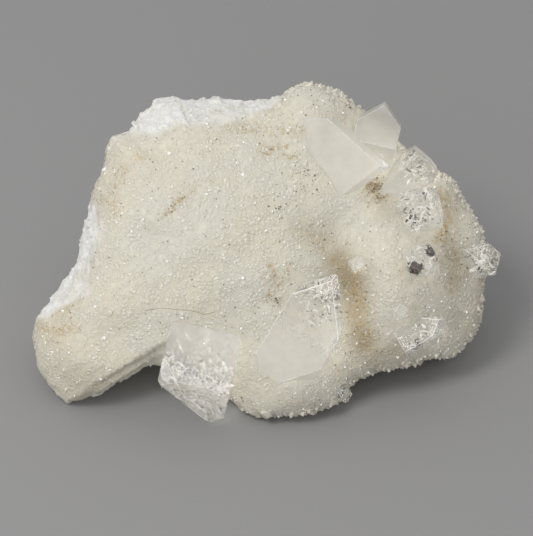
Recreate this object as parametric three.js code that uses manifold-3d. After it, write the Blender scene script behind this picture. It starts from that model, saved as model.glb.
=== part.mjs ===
// Apophyllite cluster: clear tetragonal crystals grown on a leaning plate of drusy white chalcedony.
// Millimetres, +Z up. The plate rests on its broken underside; its drusy face leans back, towards +Y.
import * as THREE from "three";
import { ConvexGeometry } from "three/addons/geometries/ConvexGeometry.js";
import { ImprovedNoise } from "three/addons/math/ImprovedNoise.js";
import { mergeVertices } from "three/addons/utils/BufferGeometryUtils.js";
import Module from "manifold-3d";

// Driving dimensions, in millimetres and degrees.
// Face coordinates are across (to the right), up (up the slope) and out (square out of the face).
const FACE_LEAN = 50; // slope of the drusy face above the surface that the plate rests on
const FACE_MIDDLE = { across: 1, up: 35 }; // the middle of the outline, which every part of the rim can see
const FACE_BULGE = 9; // how far the face domes out of its rim
const FACE_SQUARENESS = 2.6; // 2 domes like an ellipse, more is flatter with a tighter edge
const BODY_DEPTH = 62; // how far the body would taper back behind the rim if nothing had broken it off
const BODY_SQUARENESS = 1.7;
const RIM_SETBACK = { foot: 1.2, top: 5, right: 5, left: 4.5 }; // how far the rim curls back on each side
const ROUGHNESS = { size: 9, height: 0.7 }; // the swelling and dipping of the whole surface
const RIM_ANGLE = 112; // share of the sphere's turn, from its front pole, that becomes the drusy face
const RIM_SNAP = 1.5; // corners of the mesh this near that angle are moved onto the rim itself
const MESH_DETAIL = 18; // subdivisions of the starting icosahedron
const CUT_SIZE = 400; // edge of the blocks that stand for half-spaces, larger than the whole object
const ROOT_GAP = { out: 0.4, aside: 0.15 }; // clearance between a crystal's foot and the face it grew on

// Apophyllite's own angles: the four point faces slope this far from the base of the prism.
const POINT_SLOPE = 60.5;

// Outline of the plate seen square on to the face, [across, up], anticlockwise from the top left corner.
const OUTLINE = [
  // broken top left edge and the left shoulder
  [-23.4, 69.2], [-26.3, 64.8], [-29.4, 60.6], [-33.6, 60.2], [-34.2, 54.2], [-35.8, 50.5], [-38.2, 43],
  [-39, 39], [-40.5, 32.7], [-43.1, 28.7], [-46.9, 23.6], [-49.7, 19.7],
  // the foot at the left
  [-50.1, 17.5], [-49.1, 12.7], [-48.2, 9.3], [-45.9, 7], [-41.8, 2.1], [-38.4, 2.7], [-35.4, 4.7],
  // the arch between the foot and the front lobe
  [-30.9, 8.5], [-27.1, 10.7], [-22.2, 11], [-13.6, 7], [-7.2, 3.6],
  // the front lobe, which stands on the surface
  [-4.9, 1.4], [-1.7, 0], [7.7, 0.2], [11.7, 1.3], [16.2, 3.6], [17.7, 6.2], [19.2, 7.8],
  // the overhanging right lobe
  [24.3, 9.8], [31.3, 10.9], [36.7, 13], [40.3, 12.4], [42.9, 14.7], [45.6, 18.8], [47.2, 22.4], [46.6, 26],
  [47.4, 30], [47.2, 38.4], [46.3, 41.7], [44.3, 44.2], [41.8, 47.5], [40.5, 50.9],
  // the right shoulder and the knob at the top
  [35.8, 52.7], [27.9, 59.1], [22, 65.2], [19.2, 66.9], [17.3, 68.9], [13.9, 70.3], [9.2, 71.3], [6.2, 70.6],
  [2.9, 68.1], [-3.9, 67.6], [-11.1, 68.8], [-15.6, 67.6], [-20.5, 68.7],
];

// Swellings of the face, and the creases between them: where, how wide and how far out.
const LOBES = [
  { name: "main swell", across: -10, up: 40, reach: 22, rise: 3 },
  { name: "left shoulder", across: -26, up: 47, reach: 8, rise: 1.6 },
  { name: "right lobe", across: 33, up: 31, reach: 12, rise: 5 },
  { name: "front lobe", across: 7, up: 4.5, reach: 10.5, rise: 3.6 },
  { name: "top knob", across: 10, up: 66, reach: 7, rise: 3 },
  { name: "foot", across: -41, up: 12, reach: 8, rise: 3.4 },
  { name: "crease beside the right lobe", across: 18, up: 26, reach: 6, rise: -4.5 },
  { name: "crease above it", across: 18, up: 39, reach: 5, rise: -2.5 },
  { name: "hollow behind the foot", across: -33, up: 16, reach: 5, rise: -1.6 },
];

// The foot at the left bulges over the arch beside it, where the outline can't see it from the middle.
const FOOT_BULGE = { at: [-40.4, 10.6, -3], radii: [6.6, 7.4, 6], detail: 5 };

// Broken edges: beyond the line from one point to the next the surface falls back this steeply.
const FRACTURES = [
  { name: "top left", from: [3, 65.6], to: [-15, 62.2], fall: 1.5 },
  { name: "top left corner", from: [-15, 62.2], to: [-25, 59.4], fall: 0.9 },
  { name: "left side", from: [-34.5, 45], to: [-37.8, 26], fall: 1.2 },
  { name: "left side above the foot", from: [-37.8, 26], to: [-47, 21.4], fall: 0.9 },
];

// Planes that the body broke along behind: a point on each, in the resting position, and the way out of it.
const BACK_BREAKS = [
  { name: "back", point: [0, 57, 20], out: [0.05, 1, 0.12] },
  { name: "back left", point: [-30, 51.5, 20], out: [-0.75, 0.75, 0.2] },
  { name: "back right", point: [36, 48, 20], out: [0.7, 0.72, 0.25] },
  { name: "left flank", point: [-50, 24, 8], out: [-1, 0.3, -0.2] },
  { name: "right flank", point: [46, 34, 10], out: [1, 0.25, -0.2] },
];

// Crystals. at is a place on the axis; axis points from the root to the tip; turn is about that axis.
// prism holds the distances of the four sides from the axis, point those of the four point faces from at, in
// the same order round the axis; tip is the distance to the flat end, and root that to the hidden end. foot
// holds the point faces of a crystal that lies down and is pointed at its root too.
const CRYSTALS = {
  front_left_crystal: [
    {
      at: [-13.9, 8.5, 6.7], axis: [-0.2, -0.845, 0.5], turn: -13,
      prism: [7.2, 7, 8.2, 7], point: [12, 9.8, 5.2, 10.1], tip: 6, root: 8.4,
    },
  ],
  front_centre_crystal: [
    {
      at: [9.5, 20.9, 11.6], axis: [0.52, 0.854, 0.27], turn: -39,
      prism: [7.8, 11, 5.7, 1.5], point: [5.9, 5.9, 5.9, 5.9], tip: 11.4, root: 15,
      foot: [10.2, 10.2, 10.4, 9.4],
    },
  ],
  upper_crystal_pair: [
    {
      at: [15.1, 53.9, 4.1], axis: [0.98, -0.05, 0.2], turn: -2.9,
      prism: [9, 9.6, 1.5, 8], point: [5.9, 5.9, 5.9, 5.9], tip: 11.6, root: 7,
    },
    {
      at: [24.5, 61.2, -3], axis: [0.18, 0.72, -0.67], turn: -14,
      prism: [4.5, 5, 4.9, 4], point: [4.5, 4.5, 4.5, 4.5], tip: 8.8, root: 8,
    },
  ],
  right_crystal_pair: [
    {
      at: [30.6, 51, 2.5], axis: [0.7, 0.7, 0.25], turn: 65,
      prism: [3.4, 3.4, 3.4, 3.4], point: [6.2, 6.2, 6.2, 6.2], tip: 5.8, root: 6,
    },
    {
      at: [33, 43.6, 5], axis: [0.15, 0.2, 0.95], turn: 10,
      prism: [4.2, 4.4, 4.2, 4.4], point: [5.8, 5.8, 5.8, 5.8], tip: 4, root: 7,
    },
  ],
  dark_crystal: [
    {
      at: [33.4, 33.2, 10.5], axis: [0.1, 0.1, 1], turn: 20,
      prism: [3, 3.2, 3.4, 3.2], point: [3.4, 3.4, 3.4, 3.4], tip: 2.8, root: 6,
    },
  ],
  far_right_crystal: [
    {
      at: [45.6, 33.6, -1], axis: [0.8, 0, 0.6], turn: 20,
      prism: [3.4, 3.4, 3.4, 3.4], point: [4.2, 4.2, 4.2, 4.2], tip: 4, root: 7,
    },
  ],
  lower_right_crystal: [
    {
      at: [33.6, 17.6, 5.5], axis: [0.85, 0.5, 0], turn: 10,
      prism: [2.8, 2.5, 2.8, 2.5], point: [4, 4, 4, 4], tip: 5.6, root: 5,
    },
  ],
  small_crystal_beside_crease: [
    {
      at: [19.6, 32.6, 7.6], axis: [0.2, 0.2, 1], turn: 30,
      prism: [1.3, 1.3, 1.3, 1.3], point: [2, 2, 2, 2], tip: 2.4, root: 5,
    },
  ],
  small_crystal_on_right_lobe: [
    {
      at: [28.6, 22.4, 8.7], axis: [0.2, 0.2, 1], turn: 10,
      prism: [1.4, 1.4, 1.4, 1.4], point: [2, 2, 2, 2], tip: 2.4, root: 5,
    },
  ],
  small_crystal_at_front_edge: [
    {
      at: [16.2, 5.4, 3.5], axis: [0.6, -0.4, 0.7], turn: 10,
      prism: [1.5, 1.5, 1.5, 1.5], point: [2.2, 2.2, 2.2, 2.2], tip: 2.4, root: 5,
    },
  ],
};

const radians = THREE.MathUtils.degToRad;
const { smoothstep } = THREE.MathUtils;
const noise = new ImprovedNoise();
const wasm = await Module();
wasm.setup();

const FACE_TO_WORLD = new THREE.Matrix4().makeRotationX(radians(FACE_LEAN));

// A closed geometry as a solid that can be joined and cut.
function solidOf(geometry) {
  const bare = geometry.clone();
  bare.deleteAttribute("normal");
  bare.deleteAttribute("uv");
  const merged = mergeVertices(bare, 1e-4);
  return new wasm.Manifold(
    new wasm.Mesh({
      numProp: 3,
      vertProperties: merged.attributes.position.array,
      triVerts: new Uint32Array(merged.index.array),
    }),
  );
}

// A solid as a geometry again.
function geometryOf(solid) {
  const { vertProperties, triVerts } = solid.getMesh();
  const geometry = new THREE.BufferGeometry();
  geometry.setAttribute("position", new THREE.BufferAttribute(vertProperties, 3));
  geometry.setIndex(new THREE.BufferAttribute(triVerts, 1));
  geometry.computeVertexNormals();
  return geometry;
}

// Everything on the inner side of a plane, as a block whose top lies in that plane.
function halfSpace(point, out) {
  const block = new THREE.BoxGeometry(CUT_SIZE, CUT_SIZE, CUT_SIZE);
  block.translate(0, 0, -CUT_SIZE / 2);
  const way = new THREE.Vector3(...out).normalize();
  block.applyQuaternion(new THREE.Quaternion().setFromUnitVectors(new THREE.Vector3(0, 0, 1), way));
  block.translate(...point);
  return solidOf(block);
}

// How far the outline lies from the middle of the face, in a direction round it.
function outlineReach(angle) {
  const way = [Math.cos(angle), Math.sin(angle)];
  let reach = 0;
  OUTLINE.forEach(([fromAcross, fromUp], i) => {
    const [toAcross, toUp] = OUTLINE[(i + 1) % OUTLINE.length];
    const start = [fromAcross - FACE_MIDDLE.across, fromUp - FACE_MIDDLE.up];
    const edge = [toAcross - fromAcross, toUp - fromUp];
    const turn = way[0] * edge[1] - way[1] * edge[0];
    if (Math.abs(turn) < 1e-9) return;
    const along = (start[0] * edge[1] - start[1] * edge[0]) / turn;
    const share = (start[0] * way[1] - start[1] * way[0]) / turn;
    if (share >= 0 && share <= 1) reach = Math.max(reach, along);
  });
  return reach;
}

// How far the rim stands out of the outline's plane: it curls back at the top and the two sides.
function rimDepth(across, up) {
  return (
    -RIM_SETBACK.foot -
    RIM_SETBACK.top * smoothstep(up, 25, 70) -
    RIM_SETBACK.right * smoothstep(across, 24, 48) -
    RIM_SETBACK.left * smoothstep(-across, 30, 50)
  );
}

// The lobes and creases of the face, as a height out of the plain dome.
function lobeHeight(across, up) {
  return LOBES.reduce((sum, lobe) => {
    const far = Math.hypot(across - lobe.across, up - lobe.up) / lobe.reach;
    return sum + lobe.rise * Math.exp(-far * far);
  }, 0);
}

// How far a broken edge falls back behind the drusy face at a place on it.
function fractureFall(across, up) {
  return FRACTURES.reduce((deepest, { from, to, fall }) => {
    const edge = [to[0] - from[0], to[1] - from[1]];
    const long = Math.hypot(...edge);
    const along = ((across - from[0]) * edge[0] + (up - from[1]) * edge[1]) / long;
    const beyond = ((across - from[0]) * edge[1] - (up - from[1]) * edge[0]) / long;
    const within = smoothstep(along, -3, 1) * (1 - smoothstep(along, long - 1, long + 3));
    return Math.max(deepest, beyond * fall * within);
  }, 0);
}

// The plate: a sphere whose front becomes the drusy face and whose back becomes the broken body.
function plateSolid() {
  const ball = new THREE.IcosahedronGeometry(1, MESH_DETAIL);
  const rim = radians(RIM_ANGLE);
  const snap = radians(RIM_SNAP);
  const spot = new THREE.Vector3();
  const { position } = ball.attributes;
  for (let i = 0; i < position.count; i++) {
    spot.fromBufferAttribute(position, i).normalize();
    const angle = Math.atan2(spot.y, spot.x);
    const exact = Math.acos(THREE.MathUtils.clamp(spot.z, -1, 1));
    const turn = Math.abs(exact - rim) < snap ? rim : exact;
    const front = turn <= rim;
    const share = front ? turn / rim : (Math.PI - turn) / (Math.PI - rim);
    const swing = (share * Math.PI) / 2;
    const power = 2 / (front ? FACE_SQUARENESS : BODY_SQUARENESS);
    const spread = outlineReach(angle) * Math.sin(swing) ** power;
    const across = FACE_MIDDLE.across + spread * Math.cos(angle);
    const up = FACE_MIDDLE.up + spread * Math.sin(angle);
    const height = Math.max(0, Math.cos(swing)) ** power;
    const fade = front ? 1 : share;
    const shape = lobeHeight(across, up) - fractureFall(across, up);
    const depth = front ? FACE_BULGE * height : -BODY_DEPTH * height;
    const out = rimDepth(across, up) + depth + fade * shape;
    const rough =
      ROUGHNESS.height * noise.noise(across / ROUGHNESS.size, up / ROUGHNESS.size, out / ROUGHNESS.size);
    position.setXYZ(i, across, up, out + rough);
  }
  const bulge = new THREE.IcosahedronGeometry(1, FOOT_BULGE.detail);
  bulge.scale(...FOOT_BULGE.radii);
  bulge.translate(...FOOT_BULGE.at);
  const whole = solidOf(ball.applyMatrix4(FACE_TO_WORLD)).add(solidOf(bulge.applyMatrix4(FACE_TO_WORLD)));
  const breaks = BACK_BREAKS.map(({ point, out }) => halfSpace(point, out));
  const floor = halfSpace([0, 0, 0], [0, 0, -1]);
  return [floor, ...breaks].reduce((solid, space) => solid.intersect(space), whole);
}

// A convex solid from the planes of its faces: every corner that three of them share and none cuts off.
function solidFromPlanes(planes) {
  const corners = [];
  const within = (corner) => planes.every((plane) => plane.distanceToPoint(corner) < 1e-6);
  planes.forEach((a, i) =>
    planes.slice(i + 1).forEach((b, j) =>
      planes.slice(i + j + 2).forEach((c) => {
        const crossing = new THREE.Matrix3().set(...a.normal, ...b.normal, ...c.normal);
        if (Math.abs(crossing.determinant()) < 1e-6) return;
        const offsets = new THREE.Vector3(-a.constant, -b.constant, -c.constant);
        const corner = offsets.applyMatrix3(crossing.invert());
        if (within(corner)) corners.push(corner);
      }),
    ),
  );
  return new ConvexGeometry(corners);
}

// One tetragonal crystal in face coordinates: four prism sides, four point faces, a flat tip and a root.
function crystalSolid({ at, axis, turn, prism, point, tip, root, foot = [] }) {
  const plane = (x, y, z, distance) => new THREE.Plane(new THREE.Vector3(x, y, z), -distance);
  const sloped = radians(POINT_SLOPE);
  const sides = prism.map((distance, i) => {
    const round = (i * Math.PI) / 2;
    return plane(Math.cos(round), Math.sin(round), 0, distance);
  });
  const pointFace = (distance, i, end) => {
    const round = ((i + 0.5) * Math.PI) / 2;
    const aside = Math.sin(sloped);
    return plane(Math.cos(round) * aside, Math.sin(round) * aside, end * Math.cos(sloped), distance);
  };
  const points = point.map((distance, i) => pointFace(distance, i, 1));
  const feet = foot.map((distance, i) => pointFace(distance, i, -1));
  const ends = [plane(0, 0, 1, tip), plane(0, 0, -1, root)];
  const geometry = solidFromPlanes([...sides, ...points, ...feet, ...ends]);
  const way = new THREE.Vector3(...axis).normalize();
  geometry.rotateZ(radians(turn));
  geometry.applyQuaternion(new THREE.Quaternion().setFromUnitVectors(new THREE.Vector3(0, 0, 1), way));
  geometry.translate(...at);
  return solidOf(geometry.applyMatrix4(FACE_TO_WORLD));
}

// Crystals that grew together, cut off a little short of the surface that they stand on.
function grownCrystals(members, plate) {
  const { out, aside } = ROOT_GAP;
  const gaps = [[0, 0, out], [aside, 0, 0], [-aside, 0, 0], [0, aside, 0], [0, -aside, 0]];
  const whole = members.map(crystalSolid).reduce((joined, crystal) => joined.add(crystal));
  const trimmed = gaps.reduce((rest, gap) => {
    const moved = new THREE.Vector3(...gap).applyMatrix4(FACE_TO_WORLD);
    return rest.subtract(plate.translate(moved.toArray()));
  }, whole);
  return trimmed.decompose().reduce((most, piece) => (piece.volume() > most.volume() ? piece : most));
}

const CHALCEDONY = new THREE.MeshStandardMaterial({ color: 0xd5cfbd, roughness: 0.55, metalness: 0 });
const CLEAR_CRYSTAL = new THREE.MeshStandardMaterial({ color: 0xdddcd6, roughness: 0.1, metalness: 0 });

function named(name, solid, material) {
  const mesh = new THREE.Mesh(geometryOf(solid), material);
  mesh.name = name;
  return mesh;
}

const plate = plateSolid();
const specimen = new THREE.Group();
specimen.add(named("drusy_matrix", plate, CHALCEDONY));
for (const [name, members] of Object.entries(CRYSTALS)) {
  specimen.add(named(name, grownCrystals(members, plate), CLEAR_CRYSTAL));
}

// The origin is under the middle of the whole object, on the surface that it rests on.
const middle = new THREE.Box3().setFromObject(specimen).getCenter(new THREE.Vector3());
specimen.position.set(-middle.x, -middle.y, 0);

const cluster = new THREE.Group();
cluster.add(specimen);

export default cluster;
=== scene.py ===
"""Looks of the apophyllite cluster: a leaning plate of drusy chalcedony with clear crystals on it."""

import math

import bmesh
import bpy
import numpy as np
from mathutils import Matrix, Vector, noise
from mathutils.bvhtree import BVHTree


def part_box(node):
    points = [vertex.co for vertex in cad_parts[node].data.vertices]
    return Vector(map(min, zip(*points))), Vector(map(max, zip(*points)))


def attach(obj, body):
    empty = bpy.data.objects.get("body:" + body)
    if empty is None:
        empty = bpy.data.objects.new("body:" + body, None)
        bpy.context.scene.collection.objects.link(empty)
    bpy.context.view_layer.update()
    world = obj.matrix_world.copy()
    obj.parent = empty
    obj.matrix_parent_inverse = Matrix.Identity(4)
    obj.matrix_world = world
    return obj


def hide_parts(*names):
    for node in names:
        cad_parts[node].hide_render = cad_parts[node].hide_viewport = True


MM = 0.001
SEED = 11

# The photo's scale in metres to a pixel, and the longer of its sides, which fills the camera's sensor.
PIXEL = 0.2132 * MM
LONGER_SIDE = 536

# Face coordinates are across (to the right), up (up the slope of the drusy face) and out (square to it).
FACE_LEAN = math.radians(50)
FACE_ORIGIN = np.array((-0.41387, -25.88573, 0)) * MM
FACE_AXES = np.array(
    (
        (1, 0, 0),
        (0, math.cos(FACE_LEAN), math.sin(FACE_LEAN)),
        (0, -math.sin(FACE_LEAN), math.cos(FACE_LEAN)),
    )
)
OUT_OF_FACE = Vector(FACE_AXES[2])

# The stone's skin: the cells it is rebuilt from, and the band that belongs to the flat underside.
SKIN_CELL = 0.49 * MM
BASE_BAND = 0.35 * MM

# The chips on broken stone, and the broad breaks on the back: sizes in millimetres, and how steep each is.
CHIPS = ((3.4, 0.5), (1.5, 0.6))
BACK_CHIPS = ((16, 0.3), (8, 0.35))

# Where the skin is broken away and the white inside shows, along each edge, in millimetres: across and up
# for the top, and up and across for the left side.
BROKEN_TOP_EDGE = (
    (-34, 59.8), (-29, 60.1), (-24.1, 59.9), (-18.8, 61.6), (-15.4, 62.3), (-8.3, 63.1), (-3, 63.3),
    (1.3, 65.9), (3.4, 67.6), (4.5, 75),
)
BROKEN_LEFT_EDGE = (
    (21.5, -46.9), (23.9, -42.4), (26.2, -37.3), (30.1, -38.4), (33, -37.3), (39.9, -34.3), (45, -36.2),
    (50, -45),
)

# Tan and orange stains, as strokes over the face, in millimetres: the points, the width and the strength.
STAINS = (
    (((-8, 62.2), (-2.8, 62), (3.6, 61), (7.8, 60.6)), 1.5, 0.5),
    (((-4.5, 61.2), (-2.4, 61.6)), 0.8, 0.7),
    (((1.5, 61.4), (4.2, 60.9)), 0.9, 0.8),
    (((-0.6, 57.4), (0.6, 56.2)), 1.1, 0.8),
    (((0.8, 57), (3.4, 57.8), (5, 57.6)), 0.6, 0.9),
    (((4.2, 55.8), (5.4, 55), (6.4, 55.6)), 0.6, 1),
    (((-27.4, 55.4), (-26, 55)), 0.7, 0.7),
    (((-29.6, 53.2), (-31.4, 50.4), (-32.4, 47.4), (-31.4, 44)), 1.1, 0.6),
    (((-35.2, 46), (-33.6, 46.4), (-32, 45)), 0.9, 0.6),
    (((-21.6, 43.2), (-20, 43.8), (-18.6, 45.4), (-17.4, 46.6)), 0.7, 0.9),
    (((-16.4, 46.6), (-13, 50), (-9, 50.4)), 0.6, 0.5),
    (((1.2, 32.4), (2.6, 29.6), (1.8, 27), (0.2, 24.6)), 0.5, 1),
    (((5.8, 32.6), (4.4, 30), (3, 28)), 0.45, 0.9),
    (((37.8, 47), (39.2, 43.8), (38.8, 40.4), (37.6, 38)), 1.7, 1),
    (((40.4, 35), (41.4, 31), (40, 27.6)), 1.8, 0.6),
    (((47, 29), (48.4, 27)), 1, 0.8),
    (((-48.4, 19), (-44, 18.2), (-40.4, 19.4)), 1.6, 0.7),
    (((-44, 22), (-40, 24)), 1.4, 0.5),
    (((22.2, 50), (24.4, 48.6), (26.4, 48)), 1.7, 1),
    # These two strokes run along the crease, as the shade strokes do: partly tan stain, partly painted
    # shade.
    (((17.6, 31), (20, 26), (20.6, 20), (22.6, 15.4)), 2.6, 0.6),
    (((15, 34), (12, 37.6), (9, 38.8)), 2.2, 0.4),
)

# Painted shade: broad brownish darkening in the creases and a few other places, as strokes in the same way.
PAINTED_SHADE_STROKES = (
    (((15.8, 33.6), (18.6, 29), (19.6, 22), (21, 15.6)), 3.2, 0.92),
    (((-45, 15), (-38, 10)), 6, 0.2),
    (((16, 35), (12, 38.4), (8, 40)), 3.4, 0.35),
    (((23, 13), (30, 14.4)), 2.6, 0.45),
    (((24, 47.6), (26, 44)), 3, 0.4),
    (((38.5, 46), (39.5, 38), (41, 30)), 3, 0.35),
)

# Dark grains lie thickly round these places: across, up, reach and weight.
DARK_CLUSTERS = (
    (3, 44.8, 1.6, 6), (8.5, 50.5, 3.2, 5), (24.2, 48.8, 1.9, 45), (2.8, 24.6, 0.7, 40), (-22, 54, 4, 0.8),
    (-17.8, 45.6, 1.6, 6), (12.4, 67.6, 2.4, 1.6), (20, 27, 4, 2), (21, 18, 3, 3), (-1.5, 23, 3, 2),
    (31, 53, 2, 5),
)

# A hair-thin crack across the lower face, in millimetres: across and up.
HAIR_CRACK = ((-25.4, 22.7), (-22, 23.3), (-16.8, 23), (-14.1, 22.4), (-12.8, 21.8), (-10.4, 22.6))
HAIR_CRACK_WIDTH = 0.09

# What is sealed in the crystals, as clouds of small flakes, in millimetres: the crystal, the cloud's middle,
# its reach across and up, how many flakes, their size and the share of them that is dark.
CLOUDS = (
    ("front_left_crystal", (-13.4, 8), (9, 10), 520, 0.6, 0.004),
    ("front_left_crystal", (-11.6, 8.6), (4.6, 5.4), 460, 0.5, 0.015),
    # Painted light: this dense white cloud, and the one at the tip, brighten the low facet, which looks
    # through to the dark floor under the arch.
    ("front_left_crystal", (-13, 3.4), (7, 4), 560, 0.6, 0),
    ("front_left_crystal", (-19, 10), (3, 6), 170, 0.6, 0),
    # Painted glint: a small cloud of larger white flakes.
    ("front_left_crystal", (-11.9, 17), (0.7, 1.1), 14, 0.9, 0),
    ("front_left_crystal", (-10, 3.8), (2.4, 1.8), 170, 0.6, 0),
    ("front_centre_crystal", (11.4, 25), (4.6, 5.6), 340, 0.55, 0.03),
    ("front_centre_crystal", (4.2, 14.2), (2.2, 2.2), 140, 0.5, 0),
    ("upper_crystal_pair", (25.4, 64.4), (2, 1.8), 50, 0.35, 0.6),
    ("right_crystal_pair", (31.6, 42), (3, 2.4), 130, 0.8, 0.14),
    ("right_crystal_pair", (33, 45), (4, 4.5), 150, 0.8, 0.03),
    ("right_crystal_pair", (32.6, 52), (2.6, 2.4), 90, 0.6, 0.04),
    ("dark_crystal", (35.4, 35.2), (1.1, 0.9), 140, 0.6, 1),
    ("dark_crystal", (32.2, 31.8), (1.4, 0.8), 160, 0.6, 1),
    ("dark_crystal", (33.8, 33.4), (3, 3), 110, 0.5, 0),
    ("far_right_crystal", (47, 33.4), (3.6, 3.6), 130, 0.85, 0.05),
    ("lower_right_crystal", (32.4, 16), (0.9, 0.7), 50, 0.45, 0.9),
    ("lower_right_crystal", (33.4, 17.4), (5, 4), 130, 0.8, 0.02),
)

# Where a crystal is chipped white: the crystal, the chip's outline on the face, clockwise, and its depth.
WHITE_CHIPS = (("upper_crystal_pair", ((24.9, 56.8), (26.9, 53.5), (24.9, 51.7)), 4.5),)
FLAKE_MARGIN = 0.25 * MM  # how far inside the crystal's faces the flakes stay
GREY_FLAKES = 0.14  # the share of the flakes that is grey
FLAKE_SHAPE = (1.4, 0.45, 0.12)  # a flake's length, width and thickness, for its size

# A crystal's foot is the faces this close to the stone, and it is sunk this far into it.
FOOT_REACH = 1.8 * MM
FOOT_SINK = 1.2 * MM

# The width of the crystals' bevelled edges, painted white as wear and as a highlight, which start this far
# from the stone.
EDGE_WEAR_AND_HIGHLIGHT = 0.11 * MM
EDGE_CLEARANCE = 1 * MM

QUARTZ_IOR = 1.54
APOPHYLLITE_IOR = 1.535

# The stone's colours: in its pores and stains, where it is broken or dusty; and painted shade in its creases
# and inside crystals, which cast no shadow.
PORE_TAN = (0.6, 0.55, 0.435)
PAINTED_SHADE_BROWN = (0.42, 0.355, 0.245)
STAIN_OCHRE = (0.47, 0.33, 0.13)
BREAK_WHITES = ((0.7, 0.695, 0.667), (0.81, 0.807, 0.785))
BREAK_DUST = (0.6, 0.55, 0.44)
# Painted shade for the stone inside the crystals, which cast no shadow.
SHADE_UNDER_CRYSTAL = (0.61, 0.59, 0.525)

WATER_WHITE = ((0.93, 0.915, 0.87), (0.99, 0.985, 0.965))
MILK_WHITE = ((0.8, 0.78, 0.725), (0.89, 0.875, 0.835))

# The way in which the front centre crystal becomes clear and the middle of the change, in face coordinates.
CLEAR_END = ((0.52, 0.854, 0.27), (8.3, 18.9, 11.6))

FLOOR_GREY = (0.278, 0.276, 0.278)


def to_face(points):
    """Places in the row frame as face coordinates, in millimetres."""
    return (np.asarray(points) - FACE_ORIGIN) @ FACE_AXES.T / MM


def from_face(places):
    """Face coordinates in millimetres as places in the row frame."""
    return np.asarray(places, float) * MM @ FACE_AXES + FACE_ORIGIN


def smoothstep(low, high, value):
    """A smooth step from 0 to 1 as a value goes from low to high."""
    share = np.clip((value - low) / (high - low), 0, 1)
    return share * share * (3 - 2 * share)


def unit(vectors):
    """Each vector, one unit long."""
    return vectors / np.linalg.norm(vectors, axis=1)[:, None]


def mesh_arrays(mesh):
    """A mesh's corners and their normals, as arrays."""
    places = np.empty(len(mesh.vertices) * 3)
    mesh.vertices.foreach_get("co", places)
    normals = np.empty(len(mesh.vertices) * 3)
    mesh.vertex_normals.foreach_get("vector", normals)
    return places.reshape(-1, 3), normals.reshape(-1, 3)


def noise_over(places, size):
    """Noise with features of a size in millimetres, at each place."""
    return np.array([noise.noise(spot) for spot in map(Vector, places / (size * MM))])


def merged_copy(node):
    """A bmesh of a CAD node's copy, with its loose triangles joined up."""
    shape = bmesh.new()
    shape.from_mesh(node.data)
    bmesh.ops.remove_doubles(shape, verts=shape.verts, dist=1e-6)
    return shape


def add_object(name, data):
    thing = bpy.data.objects.new(name, data)
    bpy.context.scene.collection.objects.link(thing)
    return thing


def mesh_from(name, shape):
    mesh = bpy.data.meshes.new(name)
    shape.to_mesh(mesh)
    shape.free()
    return mesh


def evaluated_mesh(thing):
    """The mesh that an object's modifiers or bevel give, after which the object itself is gone."""
    result = bpy.data.meshes.new_from_object(thing.evaluated_get(bpy.context.evaluated_depsgraph_get()))
    bpy.data.objects.remove(thing)
    return result


def store(mesh, name, values):
    """A number for each corner of a mesh, for its material to read."""
    layer = mesh.attributes.new(name, "FLOAT", "POINT")
    layer.data.foreach_set("value", np.asarray(values, np.float32))


def stored(mesh, name):
    values = np.empty(len(mesh.vertices), np.float32)
    mesh.attributes[name].data.foreach_get("value", values)
    return values


def add_piece(name, mesh, materials, slot, *nodes):
    """A finished piece of the object, riding on its one body."""
    piece = add_object(name, mesh)
    for material in materials:
        mesh.materials.append(material)
    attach(piece, "root")
    if nodes:
        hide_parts(*nodes)
    return piece


# The stone.


def far_from_stroke(across, up, points):
    """How far each place on the face lies from a stroke, in millimetres."""
    nearest = np.full(across.shape, np.inf)
    for (x0, y0), (x1, y1) in zip(points, points[1:]):
        dx, dy = x1 - x0, y1 - y0
        share = np.clip(((across - x0) * dx + (up - y0) * dy) / (dx * dx + dy * dy), 0, 1)
        nearest = np.minimum(nearest, np.hypot(across - x0 - share * dx, up - y0 - share * dy))
    return nearest


def painted(face, strokes):
    """How strongly the nearest of some strokes marks each place on the face."""
    marks = np.zeros(len(face))
    for points, width, strength in strokes:
        far = far_from_stroke(face[:, 0], face[:, 1], points)
        marks = np.maximum(marks, strength * np.exp(-((far / width) ** 2)))
    return marks


def broken_share(face, facing, ragged):
    """Where the drusy skin is broken away: the top band, the left band, the back and the underside."""
    across, up = face[:, 0], face[:, 1]
    top_across, top_up = zip(*BROKEN_TOP_EDGE)
    above = up - np.interp(across, top_across, top_up)
    top = smoothstep(-1.2, 1.6, above + ragged) * (across < 4.5)
    left_up, left_across = zip(*BROKEN_LEFT_EDGE)
    beside = np.interp(up, left_up, left_across) - across
    left = smoothstep(-1.2, 1.6, beside + ragged) * (up > 21) * (up < 50)
    back = smoothstep(-0.15, -0.45, facing)
    return np.maximum.reduce((top, left, back))


def inside_share(places, trees):
    """1 at the places that lie inside one of the crystals, and 0 elsewhere."""
    inside = np.zeros(len(places))
    for tree, (low, high) in trees:
        boxed = np.all((places > low) & (places < high), axis=1)
        for i in np.flatnonzero(boxed):
            _, normal, _, _ = tree.ray_cast(Vector(places[i]), OUT_OF_FACE)
            if normal and normal.dot(OUT_OF_FACE) > 0:
                inside[i] = 1
    return inside


def chip_relief(places, size, steep):
    """Small flat chips at all angles, as sugary stone breaks, in millimetres out of the surface."""
    relief = np.empty(len(places))
    for i, place in enumerate(map(Vector, places / (size * MM))):
        _, centres = noise.voronoi(place)
        slope = noise.noise_vector(centres[0] * 7.3)
        relief[i] = steep * size * (place - centres[0]).dot(slope)
    return relief


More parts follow.
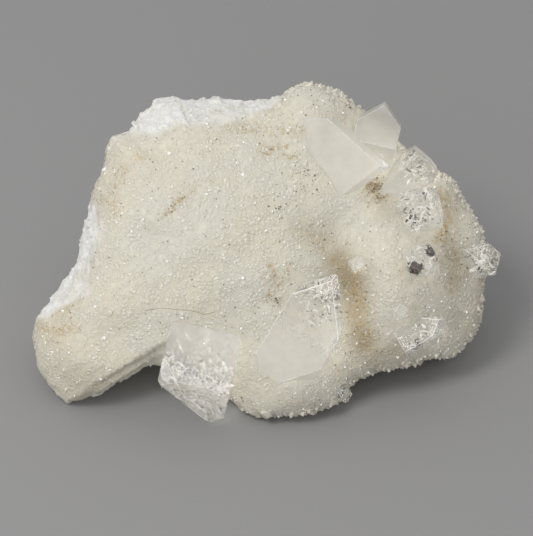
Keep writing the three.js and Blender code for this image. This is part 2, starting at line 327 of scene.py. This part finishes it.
def stone_mesh(node, crystal_trees):
    """The stone's body: the CAD solid's skin rebuilt finely enough to carry its swellings and chips."""
    rough = add_object("rough_stone", mesh_from("rough_stone", merged_copy(node)))
    skin = rough.modifiers.new("skin", "REMESH")
    skin.mode = "VOXEL"
    skin.voxel_size = SKIN_CELL
    mesh = evaluated_mesh(rough)

    shape = bmesh.new()
    shape.from_mesh(mesh)
    axes = {"use_axis_x": True, "use_axis_y": True, "use_axis_z": True}
    for _ in range(3):
        bmesh.ops.smooth_vert(shape, verts=shape.verts, factor=0.5, **axes)
    shape.to_mesh(mesh)
    shape.free()

    # Low swellings and grain on the druse, rougher towards the rim, and sharp chips where it is broken.
    places, normals = mesh_arrays(mesh)
    face = to_face(places)
    facing = normals @ FACE_AXES[2]
    broken = broken_share(face, facing, 1.5 * noise_over(places, 4))
    rim = smoothstep(0.75, 0.2, facing)
    swell = 0.4 * noise_over(places, 7) + (0.12 + 0.3 * rim) * noise_over(places, 2.4)
    grain = (0.07 + 0.16 * rim) * noise_over(places, 1.2)
    chips = sum(chip_relief(places, size, steep) for size, steep in CHIPS)
    chips += 0.15 * noise_over(places, 0.9)
    breaks = sum(chip_relief(places, size, steep) for size, steep in BACK_CHIPS)
    chips += smoothstep(-0.3, -0.6, facing) * breaks
    relief = (1 - broken) * (swell + grain) + broken * chips
    raised = places + normals * (relief * MM)[:, None]
    raised[places[:, 2] < BASE_BAND, 2] = 0
    raised[:, 2] = np.maximum(raised[:, 2], 0)
    mesh.vertices.foreach_set("co", raised.ravel())

    skinned = (1 - broken) * smoothstep(-0.1, 0.3, facing)
    store(mesh, "broken", broken)
    store(mesh, "stain", painted(face, STAINS) * skinned)
    # Painted shade along the shade strokes.
    store(mesh, "shade", painted(face, PAINTED_SHADE_STROKES) * skinned)
    # Painted shade: marks the stone inside the crystals to be darkened; the druse keeps clear of it too.
    store(mesh, "shaded_inside_crystal", inside_share(raised, crystal_trees))
    for polygon in mesh.polygons:
        polygon.use_smooth = bool(broken[polygon.vertices[0]] < 0.5)
    mesh.update()
    return mesh


# Small things, made as joined copies.


def quartz_point():
    """A six-sided quartz point, one unit wide and high, closed underneath."""
    shape = bmesh.new()
    bmesh.ops.create_cone(shape, segments=6, radius1=0.5, radius2=0, depth=1, cap_ends=True)
    bmesh.ops.translate(shape, verts=shape.verts, vec=(0, 0, 0.5))
    return shape


def pebble():
    """A faceted grain, one unit across."""
    shape = bmesh.new()
    bmesh.ops.create_icosphere(shape, subdivisions=1, radius=0.5)
    return shape


def joined_copies(name, shape, spots, ways, sizes, rng, carried=()):
    """Copies of a small shape in one mesh, each at a spot with its axis along a way, turned at random."""
    bmesh.ops.remove_doubles(shape, verts=shape.verts, dist=1e-5)
    bmesh.ops.triangulate(shape, faces=shape.faces)
    shape.verts.index_update()
    corners = np.array([tuple(v.co) for v in shape.verts])
    faces = np.array([[v.index for v in f.verts] for f in shape.faces])
    shape.free()

    count = len(spots)
    side = unit(np.cross(ways, rng.normal(size=(count, 3))))
    turned = np.stack((side, np.cross(ways, side), ways), axis=1)
    scaled = corners[None] * sizes[:, None]
    vertices = (np.einsum("nci,nij->ncj", scaled, turned) + spots[:, None]).reshape(-1, 3)
    vertices[:, 2] = np.maximum(vertices[:, 2], 0)
    steps = np.arange(count)[:, None, None] * len(corners)
    mesh = bpy.data.meshes.new(name)
    mesh.from_pydata(vertices.tolist(), [], (faces[None] + steps).reshape(-1, 3).tolist())
    for key, values in carried:
        store(mesh, key, np.repeat(values, len(corners)))
    mesh.update()
    return mesh


def scatter(mesh, count, weight, rng):
    """Random spots on a mesh, by area and a weight at each corner: the spots, the ways out, the corners."""
    places, normals = mesh_arrays(mesh)
    mesh.calc_loop_triangles()
    corners = np.empty(len(mesh.loop_triangles) * 3, int)
    mesh.loop_triangles.foreach_get("vertices", corners)
    corners = corners.reshape(-1, 3)
    first, second, third = (places[corners[:, i]] for i in range(3))
    area = np.linalg.norm(np.cross(second - first, third - first), axis=1)
    chance = area * weight[corners].mean(axis=1)
    chosen = rng.choice(len(corners), size=count, p=chance / chance.sum())
    shares = rng.dirichlet((1, 1, 1), size=count)
    spots = (places[corners[chosen]] * shares[:, :, None]).sum(axis=1)
    return spots, unit(normals[corners[chosen]].mean(axis=1)), corners[chosen]


def leaning(ways, lean, rng):
    """Each way, tipped aside at random."""
    return unit(ways + lean * rng.normal(size=ways.shape))


class DrusySkin:
    """The stone's drusy face, as a place to grow small things on."""

    def __init__(self, stone, rng):
        self.mesh = stone
        self.rng = rng
        self.places, normals = mesh_arrays(stone)
        self.face = to_face(self.places)
        self.facing = normals @ FACE_AXES[2]
        self.looks = {key: stored(stone, key) for key in ("stain", "shade", "broken", "shaded_inside_crystal")}
        off_floor = self.places[:, 2] > 0.8 * MM
        whole = (1 - smoothstep(0.1, 0.7, self.looks["broken"])) * (1 - self.looks["shaded_inside_crystal"])
        self.weight = whole * smoothstep(-0.4, 0, self.facing) * off_floor

    def grown(self, name, shape, count, weight, width, spread, tall, sunk, lean):
        """Copies of a shape on the skin, of a usual width that varies, each as tall as a share of it."""
        spots, ways, corners = scatter(self.mesh, count, self.weight * weight, self.rng)
        widths = width * MM * self.rng.lognormal(0, spread, count)
        spots = spots - ways * (widths * sunk)[:, None]
        sizes = widths[:, None] * np.array((1, 1, tall))
        carried = [(key, values[corners].mean(axis=1)) for key, values in self.looks.items()]
        ways = leaning(ways, lean, self.rng)
        return joined_copies(name, shape, spots, ways, sizes, self.rng, carried)

    def fine_weight(self):
        """The fine druse leaves the hair-thin crack free."""
        far = far_from_stroke(self.face[:, 0], self.face[:, 1], HAIR_CRACK)
        return smoothstep(0.3, 0.8, far)

    def rim_weight(self):
        """The largest points stand along the rim of the right side, the bottom and the top knob."""
        across, up = self.face[:, 0], self.face[:, 1]
        edge = smoothstep(0.62, 0.25, self.facing)
        knob = (up > 60) * (across > 3)
        side = smoothstep(-8, 4, across)
        return edge * np.maximum(side, knob)

    def dark_weight(self):
        """Dark grains are sparse, and lie thickly in a few places."""
        across, up = self.face[:, 0], self.face[:, 1]
        weight = np.full(len(across), 0.35)
        for x, y, reach, thick in DARK_CLUSTERS:
            weight += thick * np.exp(-((across - x) ** 2 + (up - y) ** 2) / reach**2)
        return weight + 2.5 * self.looks["stain"]


def hair_crack_mesh(stone_tree, rng):
    """The hair-thin crack, lying half sunk in the stone along its wavering line."""
    across, up = np.array(HAIR_CRACK).T
    steps = np.linspace(0, 1, 60)
    along = np.linspace(0, 1, len(across))
    line = np.stack((np.interp(steps, along, across), np.interp(steps, along, up)), axis=1)
    line += np.cumsum(rng.normal(scale=0.03, size=line.shape), axis=0)
    curve = bpy.data.curves.new("hair_crack", "CURVE")
    curve.dimensions = "3D"
    curve.bevel_depth = HAIR_CRACK_WIDTH / 2 * MM
    curve.bevel_resolution = 0
    curve.use_fill_caps = True
    spline = curve.splines.new("POLY")
    spline.points.add(len(line) - 1)
    for point, (x, y) in zip(spline.points, line):
        start = Vector(from_face((x, y, 40)))
        point.co = (*stone_tree.ray_cast(start, -OUT_OF_FACE)[0], 1)
    mesh = evaluated_mesh(add_object("hair_crack", curve))
    shape = bmesh.new()
    shape.from_mesh(mesh)
    bmesh.ops.remove_doubles(shape, verts=shape.verts, dist=1e-7)
    shape.to_mesh(mesh)
    shape.free()
    return mesh


# Crystals.


def cut_across(shape, place, way):
    """Cuts a shape's faces along a plane, and keeps both sides."""
    everything = [*shape.verts, *shape.edges, *shape.faces]
    bmesh.ops.bisect_plane(shape, geom=everything, dist=1e-7, plane_co=place, plane_no=way)


def chip_white(shape, outline, deep):
    """Gives the faces of a crystal within an outline, seen square on to the face, the white of its edges.

    Only what lies within a depth of the highest of it is chipped.
    """
    sides = list(zip(outline, outline[1:] + outline[:1]))

    def within(face):
        across, up, _ = to_face(face.calc_center_median())
        turns = [(x1 - x0) * (up - y0) - (y1 - y0) * (across - x0) for (x0, y0), (x1, y1) in sides]
        return max(turns) < 0 and face.normal.dot(OUT_OF_FACE) > 0

    for first, second in sides:
        start = Vector(from_face((*first, 0)))
        cut_across(shape, start, (Vector(from_face((*second, 0))) - start).cross(OUT_OF_FACE))
    top = max(to_face(v.co)[2] for face in shape.faces if within(face) for v in face.verts)
    cut_across(shape, Vector(from_face((0, 0, top - deep))), OUT_OF_FACE)
    for face in shape.faces:
        if within(face) and to_face(face.calc_center_median())[2] > top - deep:
            face.material_index = 1


def slivers_among(shape, faces):
    """Small faces whose corners all belong to some other faces."""
    corners = {v for face in faces for v in face.verts}
    rest = [face for face in shape.faces if face not in faces and face.calc_area() < 3 * MM**2]
    return [face for face in rest if corners.issuperset(face.verts)]


def crystal_mesh(node, stone_tree):
    """A crystal with its foot sunk into the stone and its edges very slightly rubbed, their bevels painted
    white as wear and as a highlight.
    """
    shape = merged_copy(node)
    bmesh.ops.dissolve_limit(shape, angle_limit=math.radians(0.6), verts=shape.verts, edges=shape.edges)
    foot = []
    for face in shape.faces:
        close = all(stone_tree.find_nearest(v.co)[3] < FOOT_REACH for v in face.verts)
        middle = face.calc_center_median()
        toward = stone_tree.find_nearest(middle)[0] - middle
        if close and face.normal.dot(toward.normalized()) > 0.4:
            foot.append(face)
    foot += slivers_among(shape, foot)
    sunk = bmesh.ops.extrude_face_region(shape, geom=foot)
    moved = [v for v in sunk["geom"] if isinstance(v, bmesh.types.BMVert)]
    bmesh.ops.delete(shape, geom=foot, context="FACES")
    bmesh.ops.translate(shape, verts=moved, vec=OUT_OF_FACE * -FOOT_SINK)
    hidden = set(moved)
    edges = [
        edge
        for edge in shape.edges
        if len(edge.link_faces) == 2
        and not any(v in hidden for face in edge.link_faces for v in face.verts)
        and max(stone_tree.find_nearest(v.co)[3] for v in edge.verts) > EDGE_CLEARANCE
        and edge.calc_face_angle() > math.radians(12)
    ]
    edge_bevel = bmesh.ops.bevel(
        shape, geom=edges, offset=EDGE_WEAR_AND_HIGHLIGHT, offset_type="OFFSET", affect="EDGES", segments=2, profile=0.5,
        material=-1, clamp_overlap=True,
    )
    # Painted highlight and wear: the bevels take the white edge finish.
    for face in edge_bevel["faces"]:
        face.material_index = 1
    for name, outline, deep in WHITE_CHIPS:
        if name == node.name:
            chip_white(shape, outline, deep)
    bmesh.ops.recalc_face_normals(shape, faces=shape.faces)
    return mesh_from(node.name, shape)


def tree_and_box(mesh):
    """A mesh's faces, to cast rays at, and its lowest and highest corners."""
    places, _ = mesh_arrays(mesh)
    tree = BVHTree.FromPolygons(places.tolist(), [tuple(p.vertices) for p in mesh.polygons])
    return tree, (places.min(axis=0), places.max(axis=0))


def spots_inside(tree, low, high, middle, reach, count, rng):
    """Random spots inside a crystal, within a reach of a place on the face that is looked at square on."""
    found = []
    for _ in range(60):
        tries = rng.uniform(low, high, size=(400, 3))
        face = to_face(tries)
        far = np.hypot((face[:, 0] - middle[0]) / reach[0], (face[:, 1] - middle[1]) / reach[1])
        for spot in map(Vector, tries[far < 1]):
            near, normal, _, distance = tree.find_nearest(spot)
            if distance > FLAKE_MARGIN and (spot - near).dot(normal) < 0:
                found.append(tuple(spot))
        if len(found) >= count:
            break
    return np.array(found[:count]).reshape(-1, 3)


def cloud_mesh(name, clouds, tree, box, rng):
    """All the flakes that are sealed in one crystal."""
    spots, sizes, shades = [], [], []
    for middle, reach, count, size, dark in clouds:
        inside = spots_inside(tree, *box, middle, reach, count, rng)
        width = size * MM * rng.lognormal(0, 0.45, len(inside))
        spots.append(inside)
        sizes.append(width[:, None] * FLAKE_SHAPE)
        grey = np.where(rng.random(len(inside)) < GREY_FLAKES, 0.75, 0.05)
        shades.append(np.where(rng.random(len(inside)) < dark, 1, grey))
    spots = np.concatenate(spots)
    ways = unit(rng.normal(size=spots.shape))
    carried = [("dark", np.concatenate(shades))]
    return joined_copies(name, pebble(), spots, ways, np.concatenate(sizes), rng, carried)


# Materials.


def new_material(name):
    material = bpy.data.materials.new(name)
    material.use_nodes = True
    nodes = material.node_tree.nodes
    return material, nodes, material.node_tree.links, nodes["Principled BSDF"]


def object_noise(nodes, links, size, detail=3, roughness=0.55):
    """Noise on the piece's own coordinates, with features of a size in millimetres."""
    place = nodes.new("ShaderNodeTexCoord")
    pattern = nodes.new("ShaderNodeTexNoise")
    pattern.inputs["Scale"].default_value = 1 / (size * MM)
    pattern.inputs["Detail"].default_value = detail
    pattern.inputs["Roughness"].default_value = roughness
    links.new(place.outputs["Object"], pattern.inputs["Vector"])
    return pattern.outputs["Fac"]


def ranged(nodes, links, value, low, high, to_low=0.0, to_high=1.0):
    """A value taken from one range to another, and held at its ends."""
    node = nodes.new("ShaderNodeMapRange")
    node.inputs["From Min"].default_value = low
    node.inputs["From Max"].default_value = high
    node.inputs["To Min"].default_value = to_low
    node.inputs["To Max"].default_value = to_high
    links.new(value, node.inputs["Value"])
    return node.outputs["Result"]


def times(nodes, links, first, second):
    node = nodes.new("ShaderNodeMath")
    node.operation = "MULTIPLY"
    links.new(first, node.inputs[0])
    if isinstance(second, (int, float)):
        node.inputs[1].default_value = second
    else:
        links.new(second, node.inputs[1])
    return node.outputs["Value"]


def mixed(nodes, links, share, first, second):
    """Two colours, or the ends of two chains of them, mixed by a share."""
    node = nodes.new("ShaderNodeMix")
    node.data_type = "RGBA"
    links.new(share, node.inputs["Factor"])
    for socket, colour in ((node.inputs[6], first), (node.inputs[7], second)):
        if isinstance(colour, tuple):
            socket.default_value = (*colour, 1)
        else:
            links.new(colour, socket)
    return node.outputs[2]


def attribute(nodes, name):
    node = nodes.new("ShaderNodeAttribute")
    node.attribute_name = name
    return node.outputs["Fac"]


def bumped(nodes, links, surface, height, strength, distance):
    """Fine relief on a surface, its distance in millimetres."""
    relief = nodes.new("ShaderNodeBump")
    relief.inputs["Strength"].default_value = strength
    relief.inputs["Distance"].default_value = distance * MM
    links.new(height, relief.inputs["Height"])
    links.new(relief.outputs["Normal"], surface.inputs["Normal"])


def stone_material(name, cream, grey, roughness, glow):
    """Drusy chalcedony: cream to grey-white, cloudy, stained tan in places, white where it is broken;
    painted shade in creases and inside crystals.
    """
    material, nodes, links, surface = new_material(name)
    cloud = ranged(nodes, links, object_noise(nodes, links, 13), 0.35, 0.65)
    fine = ranged(nodes, links, object_noise(nodes, links, 0.9, 4, 0.65), 0.3, 0.7)
    colour = mixed(nodes, links, cloud, cream, grey)
    colour = mixed(nodes, links, times(nodes, links, fine, 0.25), colour, PORE_TAN)
    # Painted shade: browner and darker along the shade strokes.
    colour = mixed(nodes, links, attribute(nodes, "shade"), colour, PAINTED_SHADE_BROWN)
    patchy = ranged(nodes, links, object_noise(nodes, links, 1, 5, 0.8), 0.44, 0.6)
    stain = times(nodes, links, attribute(nodes, "stain"), patchy)
    colour = mixed(nodes, links, stain, colour, STAIN_OCHRE)
    white = mixed(nodes, links, fine, *BREAK_WHITES)
    dust = ranged(nodes, links, object_noise(nodes, links, 9, 4, 0.6), 0.45, 0.75)
    white = mixed(nodes, links, times(nodes, links, dust, 0.7), white, BREAK_DUST)
    colour = mixed(nodes, links, attribute(nodes, "broken"), colour, white)
    # Painted shade: the stone inside the crystals, which cast no shadow, is darker.
    colour = mixed(nodes, links, attribute(nodes, "shaded_inside_crystal"), colour, SHADE_UNDER_CRYSTAL)
    links.new(colour, surface.inputs["Base Color"])
    links.new(ranged(nodes, links, fine, 0, 1, *roughness), surface.inputs["Roughness"])
    surface.inputs["Subsurface Weight"].default_value = glow
    surface.inputs["Subsurface Radius"].default_value = (1, 0.9, 0.7)
    surface.inputs["Subsurface Scale"].default_value = 2 * MM
    surface.inputs["IOR"].default_value = QUARTZ_IOR
    bumped(nodes, links, surface, object_noise(nodes, links, 0.45, 3, 0.6), 0.35, 0.12)
    return material


def glint_material():
    """Painted glints: quartz points coloured clean white so that they stand out bright as sparkles, and
    glossy.
    """
    material, nodes, links, surface = new_material("painted_glint_quartz")
    white = mixed(nodes, links, object_noise(nodes, links, 1.5), (0.9, 0.89, 0.86), (1, 1, 0.98))
    links.new(white, surface.inputs["Base Color"])
    surface.inputs["Roughness"].default_value = 0.08
    surface.inputs["IOR"].default_value = QUARTZ_IOR
    return material


def dark_grain_material():
    """Dark brown mineral grains in the pores of the druse."""
    material, nodes, links, surface = new_material("dark_grains")
    brown = mixed(nodes, links, object_noise(nodes, links, 2.5), (0.1, 0.065, 0.035), (0.36, 0.25, 0.13))
    links.new(brown, surface.inputs["Base Color"])
    surface.inputs["Roughness"].default_value = 0.5
    return material


def along_way(nodes, links, way, middle):
    """How far a place on the piece lies along a way from a middle, in metres; both in face coordinates."""
    place = nodes.new("ShaderNodeTexCoord")
    far = nodes.new("ShaderNodeVectorMath")
    far.operation = "SUBTRACT"
    far.inputs[1].default_value = from_face(middle)
    links.new(place.outputs["Object"], far.inputs[0])
    reach = nodes.new("ShaderNodeVectorMath")
    reach.operation = "DOT_PRODUCT"
    reach.inputs[1].default_value = Vector(np.array(way) @ FACE_AXES).normalized()
    links.new(far.outputs["Vector"], reach.inputs[0])
    return reach.outputs["Value"]


def crystal_material(name, transmission, tints, gloss, etched, clear_end=None):
    """Apophyllite: clear, with faces etched dull in places, so its roughness, gloss, runs over a range.

    What isn't clear in it is cloudy white. clear_end is the way in which it becomes clear, and the middle of
    it.
    """
    material, nodes, links, surface = new_material(name)
    veil = ranged(nodes, links, object_noise(nodes, links, 2.2, 5, 0.7), 0.35, 0.65)
    links.new(mixed(nodes, links, veil, *tints), surface.inputs["Base Color"])
    surface.inputs["Transmission Weight"].default_value = transmission
    surface.inputs["Subsurface Weight"].default_value = 1
    surface.inputs["Subsurface Radius"].default_value = (1, 1, 0.95)
    surface.inputs["Subsurface Scale"].default_value = 3 * MM
    surface.inputs["IOR"].default_value = APOPHYLLITE_IOR
    dull = ranged(nodes, links, object_noise(nodes, links, 1.3, 5, 0.7), 0.35, 0.65, *gloss)
    if clear_end:
        along = ranged(nodes, links, along_way(nodes, links, *clear_end), -4 * MM, 4 * MM)
        dull = times(nodes, links, dull, ranged(nodes, links, along, 0, 1, 1, 0.08))
        clearer = ranged(nodes, links, along, 0, 1, transmission, 0.96)
        links.new(clearer, surface.inputs["Transmission Weight"])
    links.new(dull, surface.inputs["Roughness"])
    bumped(nodes, links, surface, object_noise(nodes, links, 0.7, 4, 0.6), etched, 0.15)
    inside = nodes.new("ShaderNodeVolumeAbsorption")
    inside.inputs["Color"].default_value = (0.9, 0.92, 0.88, 1)
    inside.inputs["Density"].default_value = 8
    links.new(inside.outputs["Volume"], nodes["Material Output"].inputs["Volume"])
    return material


def edge_wear_and_highlight_material():
    """The crystals' edges, chipped white by wear, and white as a painted highlight along them."""
    material, nodes, links, surface = new_material("crystal_edge_wear_and_highlight")
    surface.inputs["Base Color"].default_value = (0.98, 0.975, 0.95, 1)
    surface.inputs["Transmission Weight"].default_value = 0.25
    surface.inputs["IOR"].default_value = APOPHYLLITE_IOR
    chipped = object_noise(nodes, links, 0.7, 3)
    links.new(ranged(nodes, links, chipped, 0.35, 0.65, 0.15, 0.5), surface.inputs["Roughness"])
    return material


def flake_material():
    """Flakes sealed in the crystals: white to grey fracture faces, and a few dark ones; some white clouds of
    them are painted light.
    """
    material, nodes, links, surface = new_material("sealed_flakes")
    cloud = object_noise(nodes, links, 0.8)
    white = mixed(nodes, links, cloud, (0.9, 0.88, 0.83), (0.98, 0.97, 0.94))
    dark = mixed(nodes, links, cloud, (0.01, 0.01, 0.01), (0.08, 0.055, 0.03))
    links.new(mixed(nodes, links, attribute(nodes, "dark"), white, dark), surface.inputs["Base Color"])
    surface.inputs["Roughness"].default_value = 0.15
    return material


# Stage.


def make_floor():
    shape = bmesh.new()
    bmesh.ops.create_grid(shape, x_segments=1, y_segments=1, size=3)
    floor = add_object("floor", mesh_from("floor", shape))
    material, _, _, surface = new_material("pale_floor")
    surface.inputs["Base Color"].default_value = (*FLOOR_GREY, 1)
    surface.inputs["Roughness"].default_value = 0.8
    floor.data.materials.append(material)


def make_light(name, place, size, power, colour=(1, 1, 1)):
    lamp = bpy.data.lights.new(name, "AREA")
    lamp.size = size
    lamp.energy = power
    lamp.color = colour
    light = add_object(name, lamp)
    light.location = place
    light.rotation_euler = (Vector((0, 0, 0.02)) - Vector(place)).to_track_quat("-Z", "Y").to_euler()


def make_world():
    """Soft light from all round, brighter overhead than near the floor."""
    world = bpy.data.worlds.new("studio")
    bpy.context.scene.world = world
    world.use_nodes = True
    nodes, links = world.node_tree.nodes, world.node_tree.links
    way = nodes.new("ShaderNodeSeparateXYZ")
    links.new(nodes.new("ShaderNodeTexCoord").outputs["Generated"], way.inputs["Vector"])
    height = ranged(nodes, links, way.outputs["Z"], 0, 0.9)
    sky = mixed(nodes, links, height, (0.6, 0.6, 0.6), (1, 1, 1))
    links.new(sky, nodes["Background"].inputs["Color"])
    nodes["Background"].inputs["Strength"].default_value = 0.73


def make_camera():
    """A long lens square on to the drusy face."""
    target = Vector(from_face((0.53, 31.77, 4)))
    distance = 1.0
    width_in_view = LONGER_SIDE * PIXEL
    lens = bpy.data.cameras.new("camera")
    lens.sensor_width = 36
    lens.lens = lens.sensor_width * distance / width_in_view
    camera = add_object("camera", lens)
    camera.location = target + OUT_OF_FACE * distance
    camera.rotation_euler = (-OUT_OF_FACE).to_track_quat("-Z", "Y").to_euler()
    bpy.context.scene.camera = camera


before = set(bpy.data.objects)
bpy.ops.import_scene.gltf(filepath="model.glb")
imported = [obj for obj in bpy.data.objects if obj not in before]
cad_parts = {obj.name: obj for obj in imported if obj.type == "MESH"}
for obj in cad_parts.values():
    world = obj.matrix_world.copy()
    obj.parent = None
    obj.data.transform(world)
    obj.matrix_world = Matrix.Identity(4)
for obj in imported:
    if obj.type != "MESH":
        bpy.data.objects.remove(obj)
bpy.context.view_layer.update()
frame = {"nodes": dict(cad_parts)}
rng = np.random.default_rng(SEED)
noise.seed_set(SEED)

stone_node = frame["nodes"].pop("drusy_matrix")
cad_tree = BVHTree.FromBMesh(merged_copy(stone_node))
crystals = {name: crystal_mesh(node, cad_tree) for name, node in frame["nodes"].items()}
stone = stone_mesh(stone_node, [tree_and_box(mesh) for mesh in crystals.values()])
chalcedony = stone_material(
    "drusy_chalcedony", cream=(0.725, 0.672, 0.54), grey=(0.7, 0.68, 0.58),
    roughness=(0.4, 0.65), glow=0.6,
)
add_piece("drusy_stone", stone, [chalcedony], "chalcedony", "drusy_matrix")

skin = DrusySkin(stone, rng)
druse = stone_material(
    "quartz_druse", cream=(0.68, 0.635, 0.525), grey=(0.665, 0.645, 0.565),
    roughness=(0.25, 0.5), glow=0,
)
dark_mineral = dark_grain_material()
fine = skin.grown(
    "fine_druse", quartz_point(), count=17000, weight=skin.fine_weight(),
    width=0.62, spread=0.3, tall=0.17, sunk=0.03, lean=0.1,
)
add_piece("fine_druse", fine, [druse], "chalcedony")
rim = skin.grown(
    "rim_druse", quartz_point(), count=1300, weight=skin.rim_weight(),
    width=1.5, spread=0.3, tall=0.6, sunk=0.2, lean=0.45,
)
add_piece("rim_druse", rim, [druse], "chalcedony")
# Painted glints: white quartz points scattered as sparkles.
glints = skin.grown(
    "bright_points", quartz_point(), count=480, weight=1,
    width=0.46, spread=0.28, tall=0.9, sunk=0.1, lean=0.6,
)
add_piece("bright_points", glints, [glint_material()], "chalcedony")
grains = skin.grown(
    "dark_grains", pebble(), count=1900, weight=skin.dark_weight(),
    width=0.165, spread=0.35, tall=1, sunk=-0.35, lean=0.5,
)
add_piece("dark_grains", grains, [dark_mineral], "chalcedony")
stone_tree = BVHTree.FromPolygons(skin.places.tolist(), [tuple(p.vertices) for p in stone.polygons])
add_piece("hair_crack", hair_crack_mesh(stone_tree, rng), [dark_mineral], "chalcedony")

clear = crystal_material(
    "clear_apophyllite", transmission=0.93, tints=WATER_WHITE, gloss=(0, 0.05), etched=0.05,
)
icy = crystal_material(
    "icy_apophyllite", transmission=0.81, tints=WATER_WHITE, gloss=(0, 0.02), etched=0.02,
)
half_frosted = crystal_material(
    "half_frosted_apophyllite", transmission=0.74, tints=MILK_WHITE, gloss=(0.3, 0.5), etched=0.04,
    clear_end=CLEAR_END,
)
frosted = crystal_material(
    "frosted_apophyllite", transmission=0.78, tints=MILK_WHITE, gloss=(0.31, 0.36), etched=0.04,
)
edge_wear_and_highlight = edge_wear_and_highlight_material()
flakes = flake_material()
finishes = {
    "front_left_crystal": icy,
    "front_centre_crystal": half_frosted,
    "upper_crystal_pair": frosted,
}
# Clear crystal lets the light through to what is in it and under it, so it casts no shadow.
for name, crystal in crystals.items():
    finish = finishes.get(name, clear)
    piece = add_piece("grown_" + name, crystal, [finish, edge_wear_and_highlight], "clear_crystal", name)
    piece.visible_shadow = False
    clouds = [cloud[1:] for cloud in CLOUDS if cloud[0] == name]
    if clouds:
        tree = BVHTree.FromBMesh(merged_copy(frame["nodes"][name]))
        sealed = cloud_mesh("flakes_in_" + name, clouds, tree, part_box(name), rng)
        add_piece("flakes_in_" + name, sealed, [flakes], "clear_crystal").visible_shadow = False

make_floor()
make_camera()
make_light("key_light", (-0.36, -0.3, 0.74), size=0.3, power=2.8, colour=(1, 0.985, 0.96))
make_light("front_fill", (-0.25, -0.4, 0.2), size=0.35, power=0.38)
make_world()
bpy.context.scene.view_settings.view_transform = "Standard"
